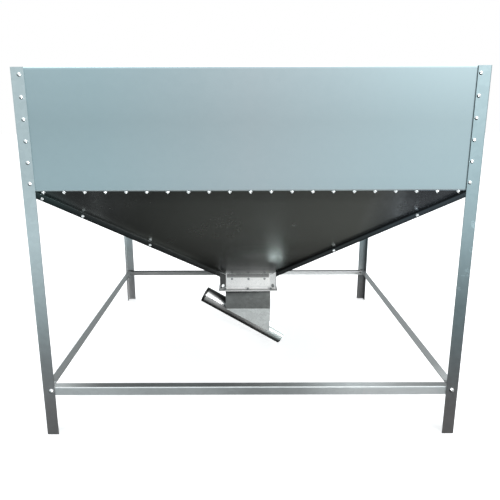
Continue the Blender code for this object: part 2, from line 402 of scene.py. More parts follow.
def seen_or_reflected(tree, reflected, seen):
    """One shader for what the camera sees itself, and another for reflections and light."""
    path = tree.nodes.new("ShaderNodeLightPath")
    mix = tree.nodes.new("ShaderNodeMixShader")
    tree.links.new(path.outputs["Is Camera Ray"], mix.inputs[0])
    tree.links.new(reflected.outputs[0], mix.inputs[1])
    tree.links.new(seen.outputs[0], mix.inputs[2])
    return mix.outputs[0]


def add_world():
    """White behind the object, and a sky over a duller horizon in its reflections."""
    world = bpy.data.worlds.new("studio")
    world.use_nodes = True
    tree = world.node_tree
    tree.nodes.clear()
    coords = tree.nodes.new("ShaderNodeTexCoord").outputs["Generated"]
    height = ramp(tree, parts_of(tree, coords)[2], SKY_RISE)
    around = tinted(tree, horizon(tree, coords), AIR_TINT)
    lit = tree.nodes.new("ShaderNodeBackground")
    lit.inputs["Strength"].default_value = 1.0
    tree.links.new(blend(tree, height, around, SKY), lit.inputs["Color"])
    seen = tree.nodes.new("ShaderNodeBackground")
    seen.inputs["Color"].default_value = (*WHITE, 1.0)
    out = tree.nodes.new("ShaderNodeOutputWorld")
    tree.links.new(seen_or_reflected(tree, lit, seen), out.inputs["Surface"])
    bpy.context.scene.world = world


def ground_glow(tree):
    """What the object mirrors of the ground, as glow: a painted shadow under it, brighter further
    out.
    """
    coords = object_coords(tree)
    reach = times(tree, distance_from(tree, coords, GROUND_MIDDLE), GROUND_SCALE)
    far = times(tree, ramp(tree, reach, GROUND_RISE), horizon(tree, coords))
    far_colour = blend(tree, ramp(tree, reach, AIR_RISE), far, tinted(tree, far, AIR_TINT))
    across = parts_of(tree, coords)[0]
    shade = math_node(tree, "MULTIPLY_ADD", across, SHADE_SLANT, SHADE_LEVEL)
    outside = ramp(tree, distance_from(tree, coords, (0.0, 0.0, 0.0)), SHADE_EDGE)
    return blend(tree, outside, tinted(tree, shade, SHADE_TINT), far_colour)


def add_floor():
    """A plain pale floor that, in the object's reflections, glows darker with a painted shadow
    under the object.
    """
    bpy.ops.mesh.primitive_plane_add(size=FLOOR_SIZE, location=(0.0, 0.0, -FLOOR_DROP))
    floor = bpy.context.object
    floor.name = "floor"
    material = bpy.data.materials.new("floor")
    material.use_nodes = True
    tree = material.node_tree
    tree.nodes.clear()
    pale = tree.nodes.new("ShaderNodeBsdfDiffuse")
    pale.inputs["Color"].default_value = FLOOR_GREY
    glow = tree.nodes.new("ShaderNodeEmission")
    glow.inputs["Color"].default_value = (*WHITE, 1.0)
    glow.inputs["Strength"].default_value = FLOOR_GLOW
    seen = tree.nodes.new("ShaderNodeAddShader")
    tree.links.new(pale.outputs[0], seen.inputs[0])
    tree.links.new(glow.outputs[0], seen.inputs[1])
    mirrored = tree.nodes.new("ShaderNodeEmission")
    mirrored.inputs["Strength"].default_value = 1.0
    tree.links.new(ground_glow(tree), mirrored.inputs["Color"])
    out = tree.nodes.new("ShaderNodeOutputMaterial")
    tree.links.new(seen_or_reflected(tree, mirrored, seen), out.inputs["Surface"])
    floor.data.materials.append(material)


def wall_colour(tree):
    """Walls: bluer to the left, greyer in the middle."""
    blue = (0.53, 0.64, 0.67)
    grey = (0.585, 0.64, 0.665)
    along = half_way(tree, place_parts(tree)[0])
    return blend(tree, ramp(tree, along, ((0.25, 0.0), (0.5, 1.0), (0.75, 0.3))), blue, grey)


def wall_shade(tree):
    """Walls: a painted shadow line beside the right leg, painted shade by height, and a painted
    highlight along the rim.
    """
    x, _, z = place_parts(tree)
    # Painted shadow of the right leg on the wall, a dark line beside it
    line = ramp(tree, x, ((0.7035, 1.0), (0.7045, 0.20), (0.7075, 0.20), (0.7085, 0.45)))
    # Painted shade by height, and a painted highlight where the rim bends
    height = ramp(tree, math_node(tree, "SUBTRACT", z, 0.5), (
        (0.45, 1.03), (0.55, 0.97), (0.62, 0.92), (0.72, 0.97), (0.784, 1.0), (0.787, 1.6)))
    return times(tree, line, height)


def hopper_colour(tree):
    """Hopper sheets: greener in the left corner, bluer to the right."""
    green = (0.55, 0.72, 0.70)
    grey = (0.52, 0.54, 0.53)
    blue = (0.52, 0.565, 0.62)
    along = half_way(tree, place_parts(tree)[0])
    base = blend(tree, ramp(tree, along, ((0.155, 0.0), (0.20, 1.0))), green, grey)
    return blend(tree, ramp(tree, along, ((0.70, 0.0), (0.79, 1.0))), base, blue)


def fin_shade(tree, skew, x, z):
    """Painted shade in bands along the hips' flanges, by how far a point lies under the hip's line.
    """
    away = math_node(tree, "ABSOLUTE", x)
    line = math_node(tree, "MULTIPLY_ADD", away, SLOPE, HOPPER_END - HOPPER_END_HALF * SLOPE)
    under = math_node(tree, "SUBTRACT", line, z)
    under = times(tree, under, math.cos(HIP_ANGLE) / FIN_WIDTH)
    left = ramp(tree, under, (
        (0.0, 0.55), (0.15, 0.50), (0.35, 0.45), (0.52, 0.34), (0.70, 0.30), (0.90, 0.18)))
    fade = ramp(tree, half_way(tree, x), (
        (0.14, 0.22), (0.19, 0.24), (0.254, 0.38), (0.33, 0.60), (0.378, 0.80)))
    right = ramp(tree, under, (
        (0.0, 0.04), (0.22, 0.04), (0.32, 0.19), (0.62, 0.17), (0.80, 0.14), (0.90, 0.11)))
    return blend(tree, over(tree, skew, 0.5), times(tree, left, fade), right)


def slope_shade(tree, x, y, z):
    """Painted reflections and shade on the sloped sheets: zones by height and across, a painted
    reflection of the tube's glare as a pale patch, and painted light beside the left hips.
    """
    along = half_way(tree, x)
    # Painted reflections and shade by height
    height = ramp(tree, z, (
        (0.418, 2.0), (0.426, 1.20), (0.431, 0.40), (0.4354, 0.33), (0.4432, 0.26),
        (0.451, 0.18), (0.4586, 0.132), (0.4737, 0.132), (0.481, 0.123), (0.496, 0.158),
        (0.510, 0.225), (0.5245, 0.33), (0.538, 0.44), (0.552, 0.54), (0.5787, 0.68),
        (0.63, 0.83), (0.68, 1.0), (0.76, 1.08), (0.84, 1.03), (0.88, 0.82)))
    across = ramp(tree, along, (
        (0.14, 0.27), (0.22, 0.32), (0.255, 0.50), (0.275, 0.65), (0.33, 0.85), (0.40, 1.0),
        (0.70, 1.0), (0.715, 1.08), (0.735, 0.92), (0.755, 0.70), (0.77, 0.62), (0.79, 0.72),
        (0.81, 0.80), (0.825, 1.05), (0.86, 1.15)))
    # Painted reflection of the tube's glare: a pale patch low on the sheets
    patch = ramp(tree, along, ((0.480, 1.0), (0.500, 1.36), (0.540, 1.56), (0.570, 1.1)))
    patch = blend(tree, ramp(tree, z, ((0.56, 1.0), (0.60, 0.0))), WHITE, patch)
    sides = [math_node(tree, "ABSOLUTE", part) for part in (x, y)]
    apart = math_node(tree, "ABSOLUTE", math_node(tree, "SUBTRACT", *sides))
    # Painted light beside the left hips, over the dark flanges the sheets mirror
    beside = ramp(tree, apart, (
        (0.0, 4.0), (0.012, 3.2), (0.030, 2.0), (0.050, 1.3), (0.07, 1.0)))
    beside = blend(tree, math_node(tree, "LESS_THAN", x, 0.0), WHITE, beside)
    return times(tree, height, times(tree, across, patch), beside)


def hopper_shade(tree):
    """Painted shade and reflections on the hopper's flanges, bends and sloped sheets, told apart
    by the way their faces turn, with a painted dark crease along each bend.
    """
    normal_x, normal_y, _ = normal_parts(tree)
    skew = math_node(tree, "ADD", times(tree, normal_x, normal_y), 0.5)
    x, y, z = place_parts(tree)
    # Painted dark crease at the bends
    bend = ramp(tree, skew, ((0.47, 0.70), (0.49, 1.0), (0.51, 1.0), (0.53, 0.08)))
    zones = times(tree, slope_shade(tree, x, y, z), bend)
    outside = ramp(tree, facing_parts(tree)[2], ((0.50, 1.0), (0.55, 0.0)))
    zones = blend(tree, outside, WHITE, zones)
    on_fin = ramp(tree, skew, ((0.06, 1.0), (0.10, 0.0), (0.90, 0.0), (0.94, 1.0)))
    return blend(tree, on_fin, zones, fin_shade(tree, skew, x, z))


def collar_shade(tree):
    """Painted shade on the left diagonal flange and painted light on the right one; painted shade
    along the webs' tops and a painted shadow at the flange's rim; the webs darker towards their
    feet.
    """
    across, _, upward = facing_parts(tree)
    x, y, z = place_parts(tree)
    # Painted shade on the left diagonal flange
    corner = ramp(tree, across, ((0.70, 1.0), (0.80, 0.10), (0.90, 0.10), (0.95, 0.6)))
    above = ramp(tree, z, ((0.357, 0.0), (0.359, 1.0)))
    corner = blend(tree, above, WHITE, corner)
    # Painted light on the right diagonal flange
    pale = ramp(tree, across, ((0.10, 1.0), (0.145, 1.25), (0.19, 1.25), (0.25, 1.0)))
    sides = [math_node(tree, "ABSOLUTE", part) for part in (x, y)]
    nearer = math_node(tree, "MINIMUM", *sides)
    inner = math_node(tree, "LESS_THAN", nearer, SHADED_STRIP_HALF)
    # Painted shade along the webs' tops, under the hopper
    top = ramp(tree, z, ((0.4030, 1.0), (0.4055, 0.30), (COLLAR_TOP, 0.22)))
    top = blend(tree, inner, WHITE, top)
    # Painted shadow line at the level flange's rim
    rim = ramp(tree, sides[1], ((0.1165, 1.0), (0.1185, 0.52)))
    rim = blend(tree, over(tree, upward, FACING_UP), WHITE, rim)
    # The webs darker towards their feet
    foot = ramp(tree, z, (
        (0.3500, 1.0), (0.3519, 1.0), (0.3521, 0.80), (0.3620, 0.90), (0.3680, 1.0)))
    return times(tree, times(tree, corner, pale), top, rim, foot)


def chute_shade(tree):
    """A shadow under the box's flange, softer and shorter to the right."""
    x, _, z = place_parts(tree)
    left = ramp(tree, z, (
        (0.310, 0.62), (0.317, 0.44), (0.326, 0.36), (0.330, 0.20), (0.334, 0.02)))
    right = ramp(tree, z, ((0.3305, 0.66), (0.334, 0.03)))
    return blend(tree, ramp(tree, half_way(tree, x), ((0.46, 0.0), (0.555, 1.0))), left, right)


def pale_patches(tree):
    """Lighter patches on the front right leg: high near their middles, ragged at their edges."""
    coords = object_coords(tree)
    near = None
    for middle, reach in PALE_PATCHES:
        patch = math_node(tree, "DIVIDE", distance_from(tree, coords, middle), reach)
        near = patch if near is None else math_node(tree, "MINIMUM", near, patch)
    inside = math_node(tree, "SUBTRACT", 1.0, near)
    inside = math_node(tree, "MINIMUM", inside, PALE_PATCH_LIMIT)
    ragged = math_node(tree, "SUBTRACT", noise(tree, coords, PALE_PATCH_SCALE, detail=3.0), 0.5)
    return math_node(tree, "MULTIPLY_ADD", ragged, PALE_PATCH_RAGGED, inside)


def leg_colour(tree):
    """Legs: bluer above, the right ones more so, and warmer near the floor, a tint of their painted
    shade there.
    """
    warm = (0.70, 0.68, 0.68)
    blue_left = (0.70, 0.76, 0.77)
    blue_right = (0.62, 0.74, 0.77)
    x, _, z = place_parts(tree)
    blue = blend(tree, over(tree, x, 0.0), blue_left, blue_right)
    return blend(tree, ramp(tree, z, ((0.10, 0.0), (0.45, 1.0))), warm, blue)


def leg_shade(tree):
    """Painted shade: legs grow darker towards the floor, where they mirror the dark ground; the
    back ones are painted lighter or darker by the way their faces turn.
    """
    x, y, z = place_parts(tree)
    # Painted shade towards the floor, each front leg by its own curve
    left = ramp(tree, z, ((0.05, 0.72), (0.30, 0.78), (0.50, 0.94), (0.75, 1.22), (0.95, 1.04)))
    right = ramp(tree, z, ((0.05, 0.60), (0.30, 0.54), (0.50, 0.50), (0.75, 0.76), (1.1, 0.86)))
    paler = ramp(tree, pale_patches(tree), ((0.50, 1.0), (0.62, 1.28)))
    front = times(tree, blend(tree, over(tree, x, 0.0), left, right), paler)
    # Painted light and shade on the back legs, by the way their faces turn
    back = ramp(tree, facing_parts(tree)[0], ((0.0, 0.24), (0.5, 1.05), (1.0, 1.3)))
    return blend(tree, over(tree, y, 0.0), front, back)


def leg_metal(tree):
    """The back left leg's narrow inner strip looks paler and less like a mirror."""
    behind = over(tree, place_parts(tree)[1], 0.0)
    strip = times(tree, over(tree, facing_parts(tree)[0], FACING_RIGHT), behind)
    return math_node(tree, "MULTIPLY_ADD", strip, STRIP_METALLIC - LEG_METALLIC, LEG_METALLIC)


def rail_shade(tree):
    """Painted shade and light on the rails: the front one by its top, bend and face, the left one
    darker than the right.
    """
    x, y, _ = place_parts(tree)
    upward = facing_parts(tree)[2]
    along = half_way(tree, x)
    face = ramp(tree, along, (
        (0.17, 0.97), (0.23, 0.99), (0.32, 0.84), (0.41, 0.86), (0.50, 0.61), (0.59, 0.64),
        (0.68, 0.99), (0.77, 1.24), (0.82, 1.18), (0.852, 1.0), (0.856, 0.30)))
    bend = ramp(tree, along, (
        (0.15, 1.1), (0.60, 0.9), (0.80, 1.1), (0.852, 1.0), (0.856, 0.30)))
    top = ramp(tree, along, (
        (0.155, 0.55), (0.19, 0.30), (0.23, 0.14), (0.32, 0.18), (0.41, 0.24), (0.50, 0.32),
        (0.59, 0.53), (0.68, 0.95), (0.73, 0.75), (0.77, 0.47), (0.83, 0.30)))
    front = blend(tree, ramp(tree, upward, ((0.52, 0.0), (0.60, 1.0))), face, bend)
    front = blend(tree, ramp(tree, upward, ((0.88, 0.0), (0.96, 1.0))), front, top)
    # Painted shade on the left rail
    left_rail_painted_shade = (0.25, 0.25, 0.25)
    near = ramp(tree, half_way(tree, y), ((0.15, 0.66), (0.22, 0.40), (0.80, 0.32)))
    side = blend(tree, over(tree, x, 0.0), left_rail_painted_shade, near)
    return blend(tree, over(tree, y, FRONT_RAIL_BACK), front, side)


def back_rail_shade(tree):
    """Painted shade on the back rail's top and painted light inside it, both darker to the left."""
    across = half_way(tree, place_parts(tree)[0])
    top = ramp(tree, across, ((0.10, 0.02), (0.45, 0.05), (0.60, 0.10), (0.9, 0.12)))
    inside = ramp(tree, across, ((0.10, 0.27), (0.45, 0.42), (0.60, 0.85), (0.9, 0.95)))
    upright = ramp(tree, facing_parts(tree)[2], ((0.75, 0.0), (0.85, 1.0)))
    return blend(tree, upright, inside, top)


def past_box(tree, x):
    """1 past the chute box, at the tube's right end, and 0 before it."""
    return ramp(tree, half_way(tree, x), ((0.53, 0.0), (0.56, 1.0)))


def tube_colour(tree):
    """The tube: near white, a little greener in the glare at its right end."""
    white = (0.97, 0.98, 0.97)
    green = (0.88, 1.0, 0.99)
    return blend(tree, past_box(tree, place_parts(tree)[0]), white, green)


def tube_metal(tree):
    """How metallic the tube looks: less so in the glare at its right end."""
    glare = past_box(tree, place_parts(tree)[0])
    return math_node(tree, "MULTIPLY_ADD", glare, GLARE_METALLIC - TUBE_METALLIC, TUBE_METALLIC)


def tube_shade(tree):
    """Painted light and shade on the tube: dark above and below, a painted highlight along its
    front, and a painted shadow at its left lip.
    """
    x, _, z = place_parts(tree)
    upward = facing_parts(tree)[2]
    along = half_way(tree, x)
    # Painted shadow of the collar and box on the tube's top, near the box
    near_box = times(tree, ramp(tree, along, ((0.405, 0.0), (0.438, 0.08))),
                     ramp(tree, upward, ((0.55, 0.0), (0.72, 1.0))))
    left = ramp(tree, math_node(tree, "ADD", upward, near_box), (
        (0.20, 0.01), (0.2845, 0.025), (0.348, 0.13), (0.409, 0.18), (0.466, 0.25),
        (0.522, 0.205), (0.575, 0.09), (0.626, 0.13), (0.665, 0.36), (0.70, 0.74),
        (0.735, 1.0), (0.768, 0.75), (0.811, 0.24), (0.851, 0.10), (0.90, 0.025)))
    left = times(tree, left, ramp(tree, along, ((0.435, 1.0), (0.455, 0.60))))
    right = ramp(tree, upward, (
        (0.25, 0.01), (0.2845, 0.012), (0.348, 0.037), (0.409, 0.082), (0.466, 0.078),
        (0.522, 0.165), (0.575, 0.11), (0.626, 0.10), (0.70, 0.12), (0.78, 0.17), (0.83, 1.0)))
    down_tube = times(tree, z, -math.sin(TUBE_SLOPE))
    down_tube = math_node(tree, "MULTIPLY_ADD", x, math.cos(TUBE_SLOPE), down_tube)
    # Painted shadow at the tube's left lip
    lip_shadow = ramp(tree, math_node(tree, "ADD", down_tube, 1.0), ((0.6780, 0.04), (0.6790, 1.0)))
    return times(tree, blend(tree, past_box(tree, x), left, right), lip_shadow)


def bolt_shade(tree):
    """Painted light and shade on bolt heads: dark to the lower left, bright to the upper right."""
    across, _, upward = facing_parts(tree)
    slant = math_node(tree, "MULTIPLY_ADD", across, 0.5, times(tree, upward, 0.5))
    return ramp(tree, slant, ((0.28, 0.05), (0.40, 0.22), (0.48, 0.85), (0.55, 1.0)))


def zinc_tone(tree, coords, grain, clouds, spangle, cloud, speck):
    """How bright the zinc is: crystals, cloudy patches with streaks, and dark flecks."""
    tone = math_node(tree, "MULTIPLY_ADD", grain, spangle, 1.0 - spangle / 2 - cloud / 2)
    streaks = noise(tree, coords, STREAK_SCALE, detail=3.0, stretch=STREAK_STRETCH)
    patches = math_node(tree, "ADD", clouds, streaks)
    tone = math_node(tree, "ADD", tone, times(tree, patches, cloud / 2))
    if speck > 0.0:
        flecks = over(tree, noise(tree, coords, FLECK_SCALE, detail=2.0), FLECK_LIMIT)
        tone = math_node(tree, "SUBTRACT", tone, times(tree, flecks, speck))
    return tone


def zinc_bumps(tree, coords, grain, wave):
    """Fine grain and crystal edges, over soft waves where the sheet isn't quite flat."""
    fine = noise(tree, coords, GRAIN_SCALE, detail=2.0)
    bump = tree.nodes.new("ShaderNodeBump")
    bump.inputs["Strength"].default_value = GRAIN_STRENGTH
    bump.inputs["Distance"].default_value = GRAIN_HEIGHT
    height = math_node(tree, "ADD", times(tree, grain, CRYSTAL_BUMP), fine)
    tree.links.new(height, bump.inputs["Height"])
    if wave > 0.0:
        swell = tree.nodes.new("ShaderNodeBump")
        swell.inputs["Strength"].default_value = wave
        swell.inputs["Distance"].default_value = SWELL_HEIGHT
        waves = noise(tree, coords, SWELL_SCALE, detail=1.0)
        tree.links.new(waves, swell.inputs["Height"])
        tree.links.new(swell.outputs[0], bump.inputs["Normal"])
    return bump.outputs[0]


def galvanised(name, colour, rough, metallic, spangle, cloud, speck=0.0, size=CRYSTALS,
               under=None, wave=0.0, shade=None, metal=None):
    """Zinc-coated steel: crystal spangle, cloudy patches, fine grain and soft waves.

    colour may be a function that gives one; under is a paler, less metallic colour of painted
    light for faces turned to the ground; shade gives a factor for the colour, which mostly
    paints light and shade in, and metal the metallic value.
    spangle, cloud, speck and wave say how strongly crystals, patches, dark flecks and waves
    show; size is the scale of the crystals.
    """
    material = bpy.data.materials.new(name)
    material.use_nodes = True
    tree = material.node_tree
    shader = tree.nodes["Principled BSDF"]
    coords = object_coords(tree)
    crystals = tree.nodes.new("ShaderNodeTexVoronoi")
    crystals.inputs["Scale"].default_value = size
    tree.links.new(coords, crystals.inputs["Vector"])
    split = tree.nodes.new("ShaderNodeSeparateColor")
    tree.links.new(crystals.outputs["Color"], split.inputs[0])
    grain = split.outputs[0]
    clouds = noise(tree, coords, CLOUD_SCALE, detail=4.0)
    tone = zinc_tone(tree, coords, grain, clouds, spangle, cloud, speck)
    if shade is not None:
        tone = times(tree, tone, shade(tree))
    base = colour(tree) if callable(colour) else colour
    shader.inputs["Metallic"].default_value = metallic
    if metal is not None:
        tree.links.new(metal(tree), shader.inputs["Metallic"])
    # Painted light: faces turned to the ground get the paler, less metallic under colour
    if under is not None:
        down = ramp(tree, facing_parts(tree)[2], FACING_DOWN)
        base = blend(tree, down, base, under)
        shine = math_node(tree, "MULTIPLY_ADD", down, -metallic, metallic)
        tree.links.new(shine, shader.inputs["Metallic"])
    tree.links.new(tinted(tree, tone, base), shader.inputs["Base Color"])
    dull = math_node(tree, "ADD", grain, clouds)
    dull = math_node(tree, "MULTIPLY_ADD", dull, ROUGH_SPREAD, rough - ROUGH_SPREAD)
    tree.links.new(dull, shader.inputs["Roughness"])
    tree.links.new(zinc_bumps(tree, coords, grain, wave), shader.inputs["Normal"])
    return material


def finish_nodes():
    """Every CAD node's material, by the first word of its name or by its whole name."""
    # The walls' under colour is a painted highlight along their bottom edge
    wall = galvanised(
        "wall_sheet", wall_colour, rough=0.45, metallic=0.92, spangle=0.02, cloud=0.03,
        wave=0.03, under=(0.92, 0.95, 0.96), shade=wall_shade)
    hopper = galvanised(
        "hopper_sheet", hopper_colour, rough=0.24, metallic=0.95, spangle=0.02, cloud=0.05,
        wave=0.02, shade=hopper_shade)
    angle = galvanised(
        "angle_steel", leg_colour, rough=0.38, metallic=LEG_METALLIC, spangle=0.06, cloud=0.06,
        shade=leg_shade, metal=leg_metal)
    rail = galvanised(
        "rail_steel", (0.92, 0.95, 0.95), rough=0.32, metallic=0.55, spangle=0.05, cloud=0.08,
        shade=rail_shade)
    far_rail = galvanised(
        "far_rail_steel", (0.94, 0.96, 0.96), rough=0.50, metallic=0.15, spangle=0.05,
        cloud=0.08, shade=back_rail_shade)
    far_shader = far_rail.node_tree.nodes["Principled BSDF"]
    far_shader.inputs["Specular IOR Level"].default_value = FAR_RAIL_GLOSS
    collar = galvanised(
        "collar_sheet", (0.81, 0.80, 0.795), rough=0.55, metallic=0.35, spangle=0.06,
        cloud=0.05, speck=0.14, shade=collar_shade)
    # The chute's under colour is painted light on its leaning lower plates
    chute = galvanised(
        "chute_steel", (0.62, 0.63, 0.62), rough=0.34, metallic=0.90, spangle=0.16, cloud=0.10,
        speck=0.14, under=(1.15, 1.19, 1.19), shade=chute_shade)
    tube = galvanised(
        "tube_steel", tube_colour, rough=0.28, metallic=TUBE_METALLIC, spangle=0.03, cloud=0.04,
        shade=tube_shade, metal=tube_metal)
    finishes = {
        "wall": wall, "hopper": hopper, "leg": angle, "rail": rail, "collar": collar,
        "chute": chute, "auger": tube, "rail_back": far_rail, "chute_flange": collar}
    for name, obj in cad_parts.items():
        material = finishes.get(name, finishes[name.split("_")[0]])
        for slot in obj.material_slots:
            slot.material = material


def join_rings(bm, rings, sides):
    """Faces between each ring of points and the next; a ring may be a single point."""
    for low, high in zip(rings, rings[1:]):
        for index in range(sides):
            after = (index + 1) % sides
            if len(low) == 1:
                bm.faces.new((low[0], high[after], high[index]))
            elif len(high) == 1:
                bm.faces.new((low[index], low[after], high[0]))
            else:
                bm.faces.new((low[index], low[after], high[after], high[index]))


def lathe(bm, profile, sides, place):
    """A turned shape about the local Z axis; its profile is a list of (radius, height)."""
    rings = []
    for radius, height in profile:
        if radius == 0.0:
            rings.append([bm.verts.new(place @ Vector((0.0, 0.0, height)))])
            continue
        ring = []
        for index in range(sides):
            turn = 2 * math.pi * index / sides
            spot = Vector((radius * math.cos(turn), radius * math.sin(turn), height))
            ring.append(bm.verts.new(place @ spot))
        rings.append(ring)
    join_rings(bm, rings, sides)


def hex_ring(bm, half, limit, height, place, turn):
    """A hexagon's outline at a height, its corners cut back to a limit of radius."""
    ring = []
    for index in range(HEAD_SIDES):
        angle = 2 * math.pi * index / HEAD_SIDES
        flat = (angle + math.pi / 6) % (math.pi / 3) - math.pi / 6
        radius = min(half / math.cos(flat), limit)
        spot = Vector((
            radius * math.cos(angle + turn), radius * math.sin(angle + turn), height))
        ring.append(bm.verts.new(place @ spot))
    return ring


def add_dome(bm, place, size):
    """A round bolt head that stands on the local plane Z = 0."""
    _, radius, height, _, _ = size
    low, high = HEAD_EDGE
    profile = [(radius * HEAD_FOOT, 0.0), (radius, height * low), (radius, height * high)]
    for step in range(1, DOME_STEPS):
        turn = math.pi / 2 * step / DOME_STEPS
        profile.append((
            radius * math.cos(turn), height * (high + (1.0 - high) * math.sin(turn))))
    profile.append((0.0, height))
    lathe(bm, profile, HEAD_SIDES, place)


def add_nut(bm, place, size, turn):
    """A washer, a chamfered hex nut and the bolt's threaded end, on the local plane Z = 0."""
    shank, _, _, half, height = size
    outer = half * WASHER_REACH
    lathe(bm, [(shank, 0.0), (outer, 0.0), (outer, WASHER), (shank, WASHER)], HEAD_SIDES, place)
    corner = half / math.cos(math.pi / 6)
    base = WASHER + height
    levels = (
        (half * NUT_FOOT, WASHER), (corner, WASHER + height * NUT_CHAMFER),
        (corner, WASHER + height * (1.0 - NUT_CHAMFER)), (half * NUT_CROWN, base),
        (shank, base))
    rings = [hex_ring(bm, half, limit, level, place, turn) for limit, level in levels]
    join_rings(bm, rings, HEAD_SIDES)
    profile = [(shank * THREAD_CREST, base - PITCH)]
    for step in range(int(TAIL / PITCH)):
        profile.append((shank * THREAD_ROOT, base + PITCH * (step + ROOT_AT)))
        profile.append((shank * THREAD_CREST, base + PITCH * (step + CREST_AT)))
    end = base + TAIL + PITCH * TIP_AT
    profile.append((shank * THREAD_TIP, end))
    profile.append((0.0, end))
    lathe(bm, profile, THREAD_SIDES, place)


def bolt_frame(place, direction):
    """A frame at that place whose Z axis points that way."""
    turn = Vector(direction).to_track_quat("Z", "Y").to_matrix()
    return Matrix.Translation(place) @ turn.to_4x4()


class SmallPiece:
    """Bolts or weld beads of one kind, gathered in one piece."""

    def __init__(self, name, seed):
        self.name = name
        self.bm = bmesh.new()
        self.chance = random.Random(seed)

    def bolt(self, head, nut, direction, size):
        """A dome at head facing direction, and a nut at nut facing away from it."""
        add_dome(self.bm, bolt_frame(head, direction), size)
        turn = self.chance.uniform(0.0, NUT_TURN)
        add_nut(self.bm, bolt_frame(nut, -direction), size, turn)

    def bolt_through_wall(self, turn, across, height, outside, inside, size):
        """A bolt through an upright sheet, its head outside; turn picks the bin's side."""
        head = turn @ Vector((across, -outside, height))
        nut = turn @ Vector((across, -inside, height))
        self.bolt(head, nut, turn @ Vector((0.0, -1.0, 0.0)), size)

    def bolt_through_flange(self, turn, across, out, head_height, nut_height, size):
        """An upright bolt through a level flange."""
        head = turn @ Vector((across, -out, head_height))
        nut = turn @ Vector((across, -out, nut_height))
        upward = math.copysign(1.0, head_height - nut_height)
        self.bolt(head, nut, Vector((0.0, 0.0, upward)), size)

    def bolt_through_fin(self, hand, toward, half, height, facing, size):
        """A bolt through a flange on a diagonal; facing is -1 where its nut shows outside."""
        normal = Vector((-hand, toward, 0.0)).normalized() * facing
        spot = Vector((hand * half, toward * half, height))
        self.bolt(spot + normal * FIN_FACE, spot - normal * FIN_FACE, normal, size)

    def bead(self, points, radius):
        """A rippled weld bead along a path, thinner at its ends."""
        rings = []
        last = len(points) - 1
        for index, point in enumerate(points):
            along = (points[min(index + 1, last)] - points[max(index - 1, 0)]).normalized()
            across = along.cross(BEAD_ASIDE).normalized()
            upright = along.cross(across)
            end = min(1.0, BEAD_TAPER + min(index, last - index) * BEAD_TAPER)
            wobble = self.chance.uniform(1.0 - BEAD_WOBBLE, 1.0 + BEAD_WOBBLE)
            reach = radius * BEAD_RIPPLES[index % len(BEAD_RIPPLES)] * wobble * end
            ring = []
            for step in range(BEAD_SIDES):
                turn = 2 * math.pi * step / BEAD_SIDES
                offset = across * math.cos(turn) * reach + upright * math.sin(turn) * reach
                ring.append(self.bm.verts.new(point + offset))
            rings.append(ring)
        join_rings(self.bm, rings, BEAD_SIDES)
        self.bm.faces.new(list(reversed(rings[0])))
        self.bm.faces.new(rings[-1])

    def finish(self, material):
        """Make the piece an object that rides on the one body."""
        bmesh.ops.recalc_face_normals(self.bm, faces=self.bm.faces)
        mesh = bpy.data.meshes.new(self.name)
        self.bm.to_mesh(mesh)
        self.bm.free()
        mesh.materials.append(material)
        mesh.shade_smooth()
        obj = bpy.data.objects.new(self.name, mesh)
        bpy.context.scene.collection.objects.link(obj)
        mesh.set_sharp_from_angle(angle=SHARP_ANGLE)
        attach(obj, "root")
        return obj


def side_turns():
    """The turns that carry what is on the front to the bin's four sides."""
    return [Matrix.Rotation(side * math.pi / 2, 3, "Z") for side in range(4)]


def add_leg_bolts(material):
    """The rows that hold the walls to the legs, heads outside."""
    bolts = SmallPiece("leg_bolts", 11)
    for turn in side_turns():
        for across in LEG_BOLTS_X:
            for row in range(LEG_BOLTS):
                height = LEG_BOLT_TOP - row * LEG_BOLT_SPACING
                bolts.bolt_through_wall(turn, across, height, BIN_HALF, WALL_FACE - SHEET, M6)
    return bolts.finish(material)


def add_edge_bolts(material):
    """The rows that hold the hopper under the walls, nuts below."""
    bolts = SmallPiece("hopper_edge_bolts", 12)
    first = -(EDGE_BOLTS - 1) / 2
    for turn in side_turns():
        for index in range(EDGE_BOLTS):
            across = (first + index) * EDGE_BOLT_SPACING
            bolts.bolt_through_flange(
                turn, across, EDGE_BOLT_OUT, WALL_BOTTOM + SHEET, HOPPER_FLANGE_UNDER, M6_WIDE)
    return bolts.finish(material)


def add_rail_bolts(material):
    """One bolt at each end of each rail, heads outside."""
    bolts = SmallPiece("rail_bolts", 13)
    inside = WALL_FACE - RAIL_THICKNESS
    for turn in side_turns():
        for across in RAIL_BOLTS_X:
            bolts.bolt_through_wall(turn, across, RAIL_BOLT_Z, BIN_HALF, inside, M8)
    return bolts.finish(material)


def add_hip_bolts(material):
    """Bolts through the flanges along the hopper's hips, nuts to the front and to the back."""
    bolts = SmallPiece("hip_bolts", 14)
    for toward in (-1.0, 1.0):
        for hand, places in ((-1.0, HIP_BOLTS_LEFT), (1.0, HIP_BOLTS_RIGHT)):
            for half in places:
                height = HOPPER_END + (half - HOPPER_END_HALF) * SLOPE
                height -= HIP_BOLT_UNDER / math.cos(HIP_ANGLE)
                bolts.bolt_through_fin(hand, toward, half, height, -1.0, M5)
    return bolts.finish(material)


